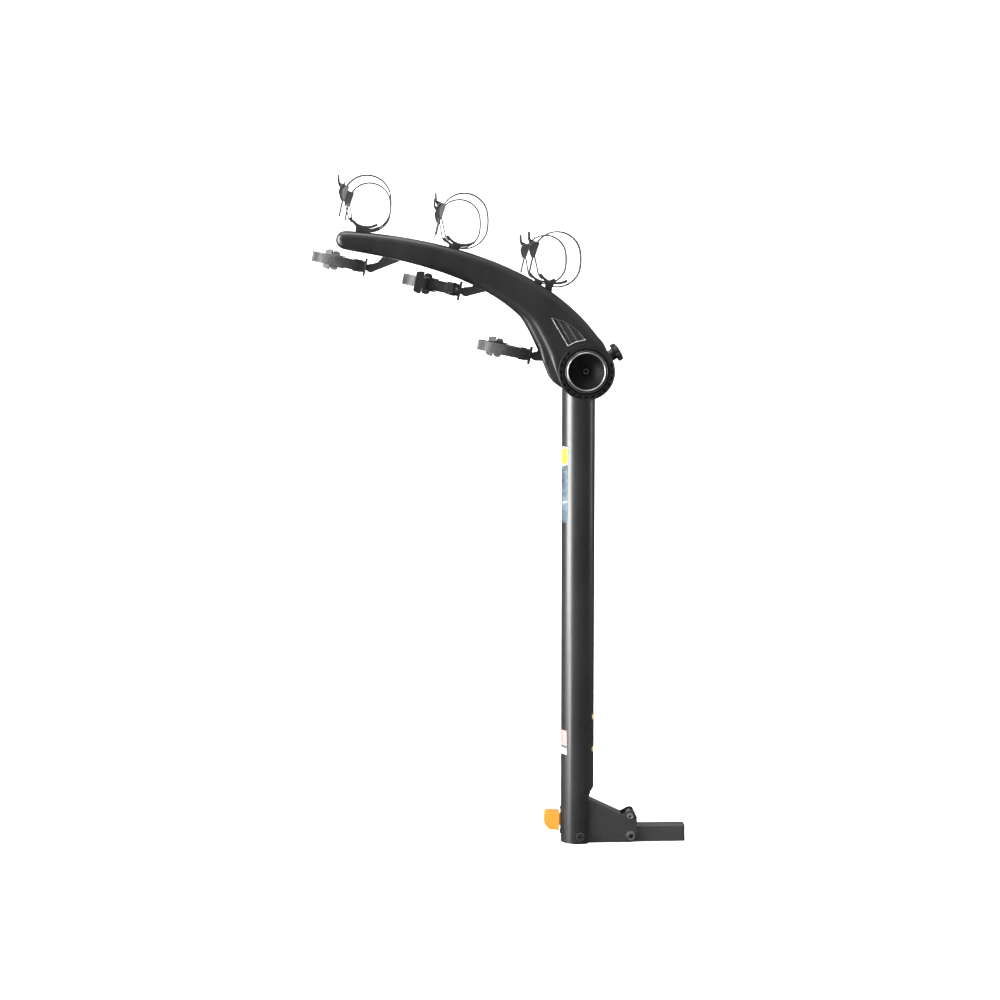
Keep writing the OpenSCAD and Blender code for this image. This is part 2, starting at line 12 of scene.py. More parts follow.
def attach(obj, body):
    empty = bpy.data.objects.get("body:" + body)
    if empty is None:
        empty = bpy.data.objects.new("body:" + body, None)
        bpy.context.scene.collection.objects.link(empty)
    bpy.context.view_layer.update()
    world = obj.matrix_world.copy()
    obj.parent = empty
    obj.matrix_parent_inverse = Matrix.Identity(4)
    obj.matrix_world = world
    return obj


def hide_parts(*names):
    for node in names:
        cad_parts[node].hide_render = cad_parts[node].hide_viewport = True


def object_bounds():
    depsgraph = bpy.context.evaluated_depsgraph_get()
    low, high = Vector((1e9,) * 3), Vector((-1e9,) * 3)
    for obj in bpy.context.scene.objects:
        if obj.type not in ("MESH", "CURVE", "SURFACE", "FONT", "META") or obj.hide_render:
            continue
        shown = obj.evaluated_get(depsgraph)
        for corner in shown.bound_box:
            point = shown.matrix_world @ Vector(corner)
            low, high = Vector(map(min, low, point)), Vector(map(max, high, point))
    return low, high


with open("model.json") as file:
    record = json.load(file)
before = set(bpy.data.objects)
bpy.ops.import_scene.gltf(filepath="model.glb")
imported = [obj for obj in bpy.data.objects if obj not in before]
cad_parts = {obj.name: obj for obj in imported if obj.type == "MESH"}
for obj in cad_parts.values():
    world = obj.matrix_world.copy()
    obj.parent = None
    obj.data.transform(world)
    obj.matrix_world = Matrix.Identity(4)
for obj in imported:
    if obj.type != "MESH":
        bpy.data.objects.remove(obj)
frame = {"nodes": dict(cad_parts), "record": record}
cad_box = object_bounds()
NODES = frame["nodes"]

MM = 0.001
HUB = Vector((-170, 0, 902)) * MM
HUB_Y = 165 * MM
SIDES = {"right": -1, "left": 1}
KNOB_ANGLE = math.radians(32)


# ---------------------------------------------------------------- materials

class Nodes:
    """A short way to write shader nodes."""

    def __init__(self, name):
        self.mat = bpy.data.materials.new(name)
        self.mat.use_nodes = True
        self.tree = self.mat.node_tree
        self.tree.nodes.clear()
        self.out = self.add("ShaderNodeOutputMaterial")
        self.bsdf = self.add("ShaderNodeBsdfPrincipled")
        self.link(self.bsdf.outputs[0], self.out.inputs["Surface"])
        self.coord = self.add("ShaderNodeTexCoord").outputs["Object"]

    def add(self, kind, **props):
        n = self.tree.nodes.new(kind)
        for k, v in props.items():
            setattr(n, k, v)
        return n

    def link(self, a, b):
        self.tree.links.new(a, b)

    def put(self, socket_shade, value):
        if hasattr(value, "is_linked"):
            self.link(value, socket_shade)
        else:
            socket_shade.default_value = value

    def set(self, **values):
        for k, v in values.items():
            self.put(self.bsdf.inputs[k.replace("_", " ")], v)

    def noise(self, scale, detail=4.0, rough=0.55, stretch=None):
        n = self.add("ShaderNodeTexNoise")
        n.inputs["Scale"].default_value = scale
        n.inputs["Detail"].default_value = detail
        n.inputs["Roughness"].default_value = rough
        vec = self.coord
        if stretch:
            m = self.add("ShaderNodeMapping")
            m.inputs["Scale"].default_value = stretch
            self.link(vec, m.inputs["Vector"])
            vec = m.outputs[0]
        self.link(vec, n.inputs["Vector"])
        return n.outputs["Fac"]

    def voronoi(self, scale, feature="F1"):
        n = self.add("ShaderNodeTexVoronoi", feature=feature)
        n.inputs["Scale"].default_value = scale
        self.link(self.coord, n.inputs["Vector"])
        return n.outputs["Distance"]

    def ramp(self, value, a, b, low, high):
        n = self.add("ShaderNodeMapRange", clamp=True)
        self.link(value, n.inputs[0])
        for i, v in zip((1, 2, 3, 4), (a, b, low, high)):
            n.inputs[i].default_value = v
        return n.outputs[0]

    def math(self, op, a, b=0.0):
        n = self.add("ShaderNodeMath", operation=op)
        self.put(n.inputs[0], a)
        self.put(n.inputs[1], b)
        if op == "COMPARE":
            n.inputs[2].default_value = 0.0028
        return n.outputs[0]

    def mix(self, fac, a, b):
        n = self.add("ShaderNodeMix", data_type="RGBA")
        self.put(n.inputs["Factor"], fac)
        self.put(n.inputs[6], a if hasattr(a, "is_linked") else (*a, 1))
        self.put(n.inputs[7], b if hasattr(b, "is_linked") else (*b, 1))
        return n.outputs[2]

    def bump(self, height, distance, strength=1.0, after=None):
        n = self.add("ShaderNodeBump")
        n.inputs["Distance"].default_value = distance
        n.inputs["Strength"].default_value = strength
        self.link(height, n.inputs["Height"])
        if after is not None:
            self.link(after, n.inputs["Normal"])
        return n.outputs[0]

    def edges(self, radius, soft=0.25):
        """1 near sharp edges, 0 on flat ground, broken up by noise."""
        b = self.add("ShaderNodeBevel", samples=4)
        b.inputs["Radius"].default_value = radius
        g = self.add("ShaderNodeNewGeometry")
        d = self.add("ShaderNodeVectorMath", operation="DOT_PRODUCT")
        self.link(b.outputs[0], d.inputs[0])
        self.link(g.outputs["Normal"], d.inputs[1])
        away = self.math("SUBTRACT", 1.0, d.outputs["Value"])
        broken = self.math("ADD", away, self.math("MULTIPLY", self.noise(140), 0.06))
        return self.ramp(broken, 0.05, 0.05 + soft, 0.0, 1.0)


def coat(name, color, rough, grain=0.00005, grain_scale=900, sheen=0.0, wear=0.35, tint=None):
    """Painted or powder coated metal: orange peel, cloudy gloss, and rubbed edges."""
    n = Nodes(name)
    cloud = n.noise(9, 5)
    rub = n.noise(55, 6, 0.7)
    edge = n.edges(0.0012)
    dark = tuple(c * 0.75 for c in color)
    base = n.mix(n.ramp(cloud, 0.35, 0.7, 0.0, 1.0), dark, color)
    base = n.mix(n.math("MULTIPLY", edge, wear), base, tint or tuple(min(1, c * 3 + 0.08) for c in color))
    n.set(Base_Color=base)
    r = n.math("ADD", n.ramp(cloud, 0.3, 0.7, rough - 0.05, rough + 0.05),
               n.ramp(rub, 0.55, 0.75, 0.0, 0.08))
    n.set(Roughness=r)
    peel = n.bump(n.noise(grain_scale, 2), grain, 0.8)
    n.set(Normal=n.bump(n.noise(38, 3), 0.00025, 0.25, peel))
    n.bsdf.inputs["Specular IOR Level"].default_value = 0.5
    if sheen:
        n.bsdf.inputs["Coat Weight"].default_value = sheen
        n.bsdf.inputs["Coat Roughness"].default_value = 0.18
    return n.mat


def moulded(name, color, rough, pebble=0.00008, scale=1500, wear=0.3, coat_weight=0.0, worn=None, level=0.45):
    """Moulded plastic with a spark-eroded grain, faint flow marks and scuffed edges."""
    n = Nodes(name)
    flow = n.noise(14, 3, 0.5, (1, 1, 0.35))
    speck = n.noise(420, 2)
    edge = n.edges(0.001)
    light = tuple(c * 1.35 + 0.004 for c in color)
    base = n.mix(n.ramp(flow, 0.3, 0.72, 0.0, 1.0), color, light)
    base = n.mix(n.math("MULTIPLY", n.ramp(speck, 0.62, 0.75, 0.0, 1.0), 0.25), base, light)
    base = n.mix(n.math("MULTIPLY", edge, wear), base, worn or tuple(min(1, c * 2.5 + 0.05) for c in color))
    n.set(Base_Color=base)
    n.set(Roughness=n.math("ADD", n.ramp(flow, 0.3, 0.7, rough - 0.04, rough + 0.05),
                           n.ramp(n.noise(80, 6, 0.7), 0.6, 0.8, 0.0, 0.1)))
    grain = n.bump(n.voronoi(scale), pebble, 0.7)
    n.set(Normal=n.bump(n.noise(60, 2), 0.00015, 0.3, grain))
    n.bsdf.inputs["Specular IOR Level"].default_value = level
    if coat_weight:
        n.bsdf.inputs["Coat Weight"].default_value = coat_weight
        n.bsdf.inputs["Coat Roughness"].default_value = 0.2
    return n.mat


def metal(name, color, rough, brushed=(1, 1, 1), scale=600, scratch=0.00003, dirt=(0.12, 0.1, 0.08)):
    """Bare or plated metal with brushing, fine scratches and dull patches."""
    n = Nodes(name)
    lines = n.noise(scale, 3, 0.6, brushed)
    patch = n.noise(70, 5, 0.65)
    n.bsdf.inputs["Metallic"].default_value = 1.0
    dull = n.ramp(patch, 0.5, 0.75, 0.0, 0.35)
    n.set(Base_Color=n.mix(dull, color, tuple(c * 0.6 + d * 0.4 for c, d in zip(color, dirt))))
    n.set(Roughness=n.math("ADD", n.ramp(lines, 0.3, 0.7, rough - 0.05, rough + 0.08),
                           n.math("MULTIPLY", dull, 0.4)))
    n.set(Normal=n.bump(lines, scratch, 0.6))
    return n.mat


def rubber(name, color, rough):
    n = Nodes(name)
    fine = n.noise(700, 3)
    bloom = n.noise(45, 5, 0.6)
    base = n.mix(n.ramp(bloom, 0.45, 0.75, 0.0, 1.0), color, tuple(c * 1.5 + 0.012 for c in color))
    n.set(Base_Color=n.mix(n.math("MULTIPLY", n.edges(0.0008), 0.35), base, (0.12, 0.115, 0.11)))
    n.set(Roughness=n.ramp(bloom, 0.35, 0.7, rough - 0.06, rough + 0.08))
    n.set(Normal=n.bump(fine, 0.00006, 0.7))
    n.bsdf.inputs["Sheen Weight"].default_value = 0.15
    n.bsdf.inputs["Sheen Roughness"].default_value = 0.4
    return n.mat


def label_material():
    """Plain colour bands on a glossy film: a warm band on top, blue grey below, pale borders."""
    n = Nodes("label")
    sep = n.add("ShaderNodeSeparateXYZ")
    n.link(n.coord, sep.inputs[0])
    z = sep.outputs["Z"]
    y = sep.outputs["Y"]
    slant = n.math("ADD", z, n.math("MULTIPLY", y, 0.25))

    def over(level):
        return n.math("GREATER_THAN", slant, level)

    body = n.mix(n.ramp(n.noise(30, 3), 0.3, 0.7, 0.0, 1.0), (0.012, 0.018, 0.024), (0.085, 0.115, 0.14))
    col = n.mix(over(0.640), body, (0.24, 0.25, 0.26))
    col = n.mix(over(0.6435), col, body)
    col = n.mix(over(0.712), col, (0.30, 0.30, 0.29))
    col = n.mix(over(0.7155), col, (0.30, 0.26, 0.03))
    col = n.mix(over(0.744), col, (0.30, 0.30, 0.29))
    fine = n.math("GREATER_THAN", n.math("SINE", n.math("MULTIPLY", z, 3600.0)), 0.2)
    low = n.mix(n.math("GREATER_THAN", z, 0.1775), (0.33, 0.33, 0.32),
                n.mix(fine, (0.30, 0.26, 0.26), (0.24, 0.10, 0.10)))
    low = n.mix(n.math("COMPARE", z, 0.1735), low, (0.09, 0.09, 0.09))
    ends = n.math("GREATER_THAN", n.math("ABSOLUTE", n.math("SUBTRACT", z, 0.199)), 0.027)
    far = n.mix(ends, (0.02, 0.02, 0.02), (0.55, 0.42, 0.12))
    low = n.mix(n.math("GREATER_THAN", sep.outputs["X"], -0.160), low, far)
    n.set(Base_Color=n.mix(n.math("GREATER_THAN", z, 0.4), low, col))
    n.set(Roughness=n.ramp(n.noise(90, 5), 0.3, 0.7, 0.2, 0.36))
    n.set(Normal=n.bump(n.noise(130, 3), 0.00008, 0.35))
    n.bsdf.inputs["Coat Weight"].default_value = 0.4
    n.bsdf.inputs["Coat Roughness"].default_value = 0.1
    return n.mat


def floor_material():
    n = Nodes("studio_floor")
    soft = n.noise(2.5, 3)
    n.set(Base_Color=n.mix(n.ramp(soft, 0.3, 0.7, 0.0, 1.0), (0.93, 0.93, 0.93), (0.95, 0.95, 0.95)))
    n.set(Roughness=0.85)
    n.bsdf.inputs["Emission Color"].default_value = (1, 1, 1, 1)
    n.bsdf.inputs["Emission Strength"].default_value = 0.45
    return n.mat


MATS = {
    "frame_coat": coat("frame_coat", (0.013, 0.0128, 0.013), 0.38, sheen=0.25, wear=0.06),
    "bracket_coat": coat("bracket_coat", (0.026, 0.025, 0.027), 0.44, grain=0.00009, grain_scale=700,
                         wear=0.2),
    "steel": metal("steel", (0.50, 0.50, 0.51), 0.32, (1, 6, 1)),
    "zinc": metal("zinc", (0.42, 0.41, 0.39), 0.3, (1, 1, 3), 400),
    "black_steel": coat("black_steel", (0.03, 0.03, 0.03), 0.35, wear=0.6, tint=(0.3, 0.3, 0.3)),
    "plastic": moulded("plastic", (0.007, 0.007, 0.0075), 0.46),
    "arm_shell": moulded("arm_shell", (0.004, 0.004, 0.0041), 0.38, pebble=0.00004, scale=1900, wear=0.1,
                         coat_weight=0.1),
    "bushing": moulded("bushing", (0.62, 0.58, 0.50), 0.5),
    "label": label_material(),
    "yellow": moulded("yellow", (0.42, 0.15, 0.002), 0.5, wear=0.15, worn=(0.6, 0.4, 0.15)),
    "gloss": moulded("gloss", (0.0016, 0.0016, 0.0018), 0.55, pebble=0.00001, scale=900, wear=0.02,
                    level=0.12),
    # near-black and low in specular: painted shade in the hub's notch slots and the bolt heads' hex drives;
    # also the pivot bolt's black ring
    "pit": moulded("pit", (0.0015, 0.0015, 0.0016), 0.7, pebble=0.00003, wear=0.0, level=0.1),
    "silver": metal("silver", (0.50, 0.50, 0.51), 0.3, (1, 1, 1), 900),
    "dull_silver": metal("dull_silver", (0.22, 0.22, 0.23), 0.38, (1, 1, 1), 900),
    "grille": moulded("grille", (0.010, 0.010, 0.011), 0.4, wear=0.8, worn=(0.30, 0.30, 0.31)),
    "buckle": moulded("buckle", (0.014, 0.014, 0.0145), 0.36, wear=0.5, worn=(0.16, 0.16, 0.16)),
    "strap": rubber("strap", (0.009, 0.0085, 0.0085), 0.5),
}
SLOT_LOOK = {"shank_tube": "bracket_coat", "tilt_bracket": "bracket_coat", "hub_screws": "gloss"}
SLOTS = {s["node"]: s["material_slot"] for s in frame["record"]["subparts"]}


# ---------------------------------------------------------------- mesh helpers

def dress(obj, look):
    obj.data.materials.clear()
    obj.data.materials.append(MATS[look])


def smooth(obj, angle=35):
    me = obj.data
    for p in me.polygons:
        p.use_smooth = True
    me.set_sharp_from_angle(angle=math.radians(angle))


def new_object(name, bm):
    me = bpy.data.meshes.new(name)
    bm.normal_update()
    bm.to_mesh(me)
    bm.free()
    obj = bpy.data.objects.new(name, me)
    bpy.context.scene.collection.objects.link(obj)
    return obj


def soften(obj, width=0.0006, segments=2, angle=40, weld=True):
    """Rounds the edges of a CAD node or a hard-edged piece with modifiers only."""
    if weld:
        w = obj.modifiers.new("weld", "WELD")
        w.merge_threshold = 0.000005
    b = obj.modifiers.new("bevel", "BEVEL")
    b.width = width
    b.segments = segments
    b.limit_method = "ANGLE"
    b.angle_limit = math.radians(angle)
    b.use_clamp_overlap = True
    b.harden_normals = False
    obj.modifiers.new("normals", "WEIGHTED_NORMAL").keep_sharp = True


def prism(bm, pts, y0, y1):
    """A closed side-view outline (x, z), counter-clockwise seen from -Y, between y0 and y1."""
    a = [bm.verts.new((p[0], y0, p[1])) for p in pts]
    b = [bm.verts.new((p[0], y1, p[1])) for p in pts]
    n = len(pts)
    bm.faces.new(a)
    bm.faces.new(b[::-1])
    for i in range(n):
        bm.faces.new((a[i], b[i], b[(i + 1) % n], a[(i + 1) % n]))


def cut(obj, *cutters):
    """Takes the cutters out of obj, and keeps the result as its mesh."""
    for c in cutters:
        m = obj.modifiers.new("cut", "BOOLEAN")
        m.operation = "DIFFERENCE"
        m.solver = "EXACT"
        m.object = c
    bake(obj)
    for c in cutters:
        bpy.data.objects.remove(c)


def bake(obj):
    bpy.context.view_layer.update()
    ev = obj.evaluated_get(bpy.context.evaluated_depsgraph_get())
    me = bpy.data.meshes.new_from_object(ev)
    old = obj.data
    obj.modifiers.clear()
    obj.data = me
    bpy.data.meshes.remove(old)


def lathe(name, profile, centre, axis, steps=128):
    """Turns a closed profile of (radius, height) points round an axis."""
    bm = bmesh.new()
    axis = Vector(axis).normalized()
    side = axis.orthogonal().normalized()
    other = axis.cross(side)
    rings = []
    for k in range(steps):
        a = 2 * math.pi * k / steps
        out = side * math.cos(a) + other * math.sin(a)
        rings.append([bm.verts.new(Vector(centre) + out * r * MM + axis * h * MM) for r, h in profile])
    n = len(profile)
    for k in range(steps):
        p, q = rings[k], rings[(k + 1) % steps]
        for i in range(n):
            j = (i + 1) % n
            bm.faces.new((p[i], q[i], q[j], p[j]))
    bmesh.ops.remove_doubles(bm, verts=bm.verts, dist=1e-7)
    bmesh.ops.recalc_face_normals(bm, faces=bm.faces)
    return new_object(name, bm)


# ---------------------------------------------------------------- arms

def bezier(p, n, first=0.0, last=1.0):
    pts = []
    for i in range(n + 1):
        t = first + (last - first) * i / n
        s = 1 - t
        k = (s * s * s, 3 * s * s * t, 3 * s * t * t, t * t * t)
        pts.append(Vector((sum(a * b[0] for a, b in zip(k, p)), sum(a * b[1] for a, b in zip(k, p)))))
    return pts


UPPER = [(-440, 255), (-270, 245), (-49, 193), (40, 34)]
LOWER = [(-440, 221), (-243, 190), (-153, 140), (-103, 92)]
THROAT = [(-103, 92), (-92, 80), (-68, 30), (-50.7, -13.6)]
TIP = Vector((-437, 238))
HUB_R = 52.5
ARM_HALF = 25.0
TIP_HALF = 19.0
TAPER_START = -60
TAPER_LENGTH = 400
FIN = [(-64, 98), (-34, 47), (-20, 54.5), (-2, 58), (-16, 74), (-40, 91)]


def arm_outline():
    """The arm's outline round the hub's centre, counter-clockwise seen from the camera's side, in mm."""
    pts = []
    start = math.degrees(math.atan2(-13.6, -50.7)) % 360
    end = 360 + math.degrees(math.atan2(34.1, 39.9))
    for i in range(61):
        a = math.radians(start + (end - start) * i / 60)
        pts.append(Vector((math.cos(a), math.sin(a))) * HUB_R)
    pts += bezier(UPPER, 80)[::-1][1:]
    for a in range(105, 260, 10):
        pts.append(TIP + Vector((math.cos(math.radians(a)), math.sin(math.radians(a)))) * 17)
    pts += bezier(LOWER, 60)[1:]
    pts += bezier(THROAT, 24)[1:-1]
    return resample(pts, 4.0)


def resample(pts, step):
    """Even spacing along a closed outline."""
    n = len(pts)
    lengths = [(pts[(i + 1) % n] - pts[i]).length for i in range(n)]
    total = sum(lengths)
    count = int(total / step)
    out, i, left = [], 0, 0.0
    for k in range(count):
        want = total * k / count
        while left + lengths[i] < want:
            left += lengths[i]
            i += 1
        f = (want - left) / lengths[i]
        out.append(pts[i].lerp(pts[(i + 1) % n], f))
    for _ in range(3):
        out = [(out[k - 1] + out[k] * 2 + out[(k + 1) % count]) / 4 for k in range(count)]
    return out


def inset(pts, d):
    """Moves an outline inward by d, with its spacing kept even."""
    n = len(pts)
    out = []
    for i in range(n):
        t = (pts[(i + 1) % n] - pts[i - 1]).normalized()
        out.append(pts[i] + Vector((-t[1], t[0])) * d)
    return out


def half_width(x):
    """Half the arm's thickness at x from the hub's centre, in mm."""
    if x > TAPER_START:
        return ARM_HALF
    return ARM_HALF + (TIP_HALF - ARM_HALF) * (TAPER_START - x) / TAPER_LENGTH


def hub_weight(p):
    """1 on the round hub, 0 out along the arm."""
    d = p.length
    return max(0.0, min(1.0, (75 - d) / 18))


ARM_PROFILE = [(0.0, 12.0), (0.35, 9.4), (1.2, 7.0), (2.4, 5.1), (4.0, 3.4), (6.0, 2.0),
               (8.5, 0.9), (11.0, 0.25), (13.0, 0.0)]


def arm_blank(name, s):
    outline = arm_outline()
    n = len(outline)
    rings = []
    for sign in (1, -1):
        for d, drop in (ARM_PROFILE if sign == 1 else ARM_PROFILE[::-1]):
            ring = inset(outline, d)
            rings.append([(p, sign, drop, o) for p, o in zip(ring, outline)])
    bm = bmesh.new()
    rows = []
    for ring in rings:
        row = []
        for p, sign, drop, o in ring:
            w = hub_weight(o)
            edge = drop * (1 - w) + drop * 0.28 * w
            y = s * sign * (half_width(o[0]) - edge)
            row.append(bm.verts.new((p[0] * MM, y * MM, p[1] * MM)))
        rows.append(row)
    for a, b in zip(rows, rows[1:]):
        for i in range(n):
            j = (i + 1) % n
            bm.faces.new((a[i], a[j], b[j], b[i]))
    # rows run from the outer face's rim to its middle, then from the inner face's middle to its rim
    k = len(ARM_PROFILE)
    for i in range(n):
        j = (i + 1) % n
        f = (rows[k - 1][i], rows[k - 1][j], rows[k][j], rows[k][i])
        face = bm.faces.get(f)
        if face:
            bm.faces.remove(face)
        bm.faces.new((rows[0][i], rows[-1][i], rows[-1][j], rows[0][j]))
    for row in (rows[k - 1], rows[k]):
        for tri in tessellate_polygon([[Vector((v.co.x, v.co.z, 0)) for v in row]]):
            if len(set(tri)) == 3:
                bm.faces.new([row[t] for t in tri])
    bmesh.ops.recalc_face_normals(bm, faces=bm.faces)
    obj = new_object(name, bm)
    obj.data.transform(Matrix.Translation((HUB.x, s * HUB_Y, HUB.z)))
    return obj


def hub_cylinder(name, s, r, y0, y1, steps=128):
    """A cutter round the hub's axis; y is measured outward from the arm's middle plane, in mm."""
    bm = bmesh.new()
    pts = [(r * math.cos(2 * math.pi * i / steps) * MM, r * math.sin(2 * math.pi * i / steps) * MM)
           for i in range(steps)]
    a, b = sorted((s * y0 * MM, s * y1 * MM))
    prism(bm, pts, a, b)
    bmesh.ops.recalc_face_normals(bm, faces=bm.faces)
    obj = new_object(name, bm)
    obj.data.transform(Matrix.Translation((HUB.x, s * HUB_Y, HUB.z)))
    return obj


def hub_prism(name, s, outlines, y0, y1):
    bm = bmesh.new()
    a, b = sorted((s * y0 * MM, s * y1 * MM))
    for pts in outlines:
        prism(bm, [(p[0] * MM, p[1] * MM) for p in pts], a, b)
    bmesh.ops.recalc_face_normals(bm, faces=bm.faces)
    obj = new_object(name, bm)
    obj.data.transform(Matrix.Translation((HUB.x, s * HUB_Y, HUB.z)))
    return obj


def notch_outlines():
    outs = []
    for k in range(17):
        a = math.radians(135 + 15 * k)
        c = Vector((math.cos(a), math.sin(a))) * 46.6
        u = Vector((math.cos(a), math.sin(a)))
        v = Vector((-u[1], u[0]))
        outs.append([c - u * 1.9 - v * 3.1, c + u * 1.9 - v * 3.1,
                     c + u * 1.9 + v * 3.1, c - u * 1.9 + v * 3.1])
    return outs


def pocket_outlines():
    """The hollow back of the arm, between its cross ribs."""
    upper = bezier(UPPER, 60)
    cells = []
    xs = [-436, -395, -345, -295, -245, -195, -150]

    def at(curve, x):
        best = min(range(len(curve) - 1), key=lambda i: abs((curve[i][0] + curve[i + 1][0]) / 2 - x))
        a, b = curve[best], curve[best + 1]
        f = (x - a[0]) / (b[0] - a[0]) if abs(b[0] - a[0]) > 1e-6 else 0.5
        return a.lerp(b, f)

    low = bezier(LOWER, 40) + bezier(THROAT, 12)[1:]
    for a, b in zip(xs, xs[1:]):
        a, b = a + 1.8, b - 1.8
        top = [at(upper, a + (b - a) * i / 6 + 14) for i in range(7)]
        bot = [at(low, a + (b - a) * i / 6 - 2) for i in range(7)]
        cell = []
        for t, u in zip(bot, top):
            cell.append(t + (u - t).normalized() * 7)
        for t, u in reversed(list(zip(bot, top))):
            cell.append(u + (t - u).normalized() * 7)
        if all(p.length > 58 for p in cell):
            cells.append(cell)
    return cells


def build_arm(side):
    s = SIDES[side]
    arm = arm_blank(f"{side}_arm_shell", s)
    boss = lathe("boss", [(0, 44), (10.5, 44), (10.5, 61.2), (9.8, 62), (0, 62)],
                 (HUB.x, s * HUB_Y, HUB.z), (math.cos(KNOB_ANGLE), 0, math.sin(KNOB_ANGLE)), 48)
    m = arm.modifiers.new("join", "BOOLEAN")
    m.operation = "UNION"
    m.solver = "EXACT"
    m.object = boss
    bake(arm)
    bpy.data.objects.remove(boss)
    pin_hole = lathe("pin_hole", [(0, 20), (3.9, 20), (3.9, 56), (8.4, 56), (8.4, 80), (0, 80)],
                     (HUB.x, s * HUB_Y, HUB.z), (math.cos(KNOB_ANGLE), 0, math.sin(KNOB_ANGLE)), 32)
    cutters = [
        hub_cylinder("bore", s, 39.8, -40, 40),
        hub_cylinder("rim_seat", s, 43.0, 21.4, 40),
        hub_prism("notches", s, notch_outlines(), 19, 40),
        hub_prism("fin", s, [FIN], 22, 40),
        hub_prism("pocket", s, pocket_outlines(), -40, -13),
        pin_hole,
    ]
    cut(arm, *cutters)
    smooth(arm, 32)
    soften(arm, 0.0005, 2, 38, weld=False)
    dress(arm, "arm_shell")
    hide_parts(f"{side}_arm")
    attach(arm, f"{side}_arm")
    # a raised bead round the hub's ring, painted shade in the notch slots, and silver lines round the fin's
    # frame
    bead = lathe(f"{side}_hub_bead", ring_profile(50.4, 25.0, 0.7), (HUB.x, s * HUB_Y, HUB.z), (0, s, 0))
    smooth(bead, 60)
    dress(bead, "arm_shell")
    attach(bead, f"{side}_arm")
    # near-black sheets a little below the face of each notch slot: painted shade for the dark inside the
    # slots
    notch_shade = hub_prism(f"{side}_notch_painted_shade", s, notch_outlines(), 19.1, 23.2)
    dress(notch_shade, "pit")
    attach(notch_shade, f"{side}_arm")
    # a dull silver bead all round the fin's frame is its own trim; the thicker bright silver lines on the
    # fin's left and bottom sides, where the key light falls, are painted highlight
    for name, pts, radius, look in (("fin_bead", FIN + FIN[:1], 0.0007, "dull_silver"),
                                    ("fin_side_highlight", FIN[:2], 0.0011, "silver"),
                                    ("fin_foot_highlight", FIN[1:4], 0.0011, "silver")):
        line = fin_line(f"{side}_{name}", s, pts, radius)
        dress(line, look)
        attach(line, f"{side}_arm")
    return arm


def ring_profile(r, h, t):
    return [(r + t * math.cos(a), h + t * math.sin(a) * 0.8) for a in [i * math.pi / 6 for i in range(12)]]


def tube_path(name, points, radius, sides=10, closed=False):
    """A round bead along points in metres."""
    bm = bmesh.new()
    rings = []
    n = len(points)
    up = None
    for i, p in enumerate(points):
        a = points[i - 1] if (i or closed) else p
        b = points[(i + 1) % n] if (i < n - 1 or closed) else p
        t = (b - a).normalized()
        if up is None:
            up = t.orthogonal().normalized()
        up = (up - t * up.dot(t)).normalized()
        w = t.cross(up)
        rings.append([bm.verts.new(p + (up * math.cos(q) + w * math.sin(q)) * radius)
                      for q in [2 * math.pi * k / sides for k in range(sides)]])
    for i in range(n if closed else n - 1):
        a, b = rings[i], rings[(i + 1) % n]
        for k in range(sides):
            bm.faces.new((a[k], a[(k + 1) % sides], b[(k + 1) % sides], b[k]))
    if not closed:
        bm.faces.new(rings[0][::-1])
        bm.faces.new(rings[-1])
    bmesh.ops.recalc_face_normals(bm, faces=bm.faces)
    obj = new_object(name, bm)
    smooth(obj, 60)
    return obj


def fin_line(name, s, corners, radius):
    """A thin raised line along part of the fin's frame, its corners eased."""
    pts = []
    for a, b in zip(corners, corners[1:]):
        for i in range(8):
            pts.append(Vector(a).lerp(Vector(b), i / 8))
    pts.append(Vector(corners[-1]))
    for _ in range(2):
        pts = pts[:1] + [(p + q * 2 + r) / 4 for p, q, r in zip(pts, pts[1:], pts[2:])] + pts[-1:]
    return tube_path(name,
                     [Vector((HUB.x + p[0] * MM, s * (HUB_Y + 25.0 * MM), HUB.z + p[1] * MM)) for p in pts],
                     radius, 8)


# ---------------------------------------------------------------- hub caps and trim

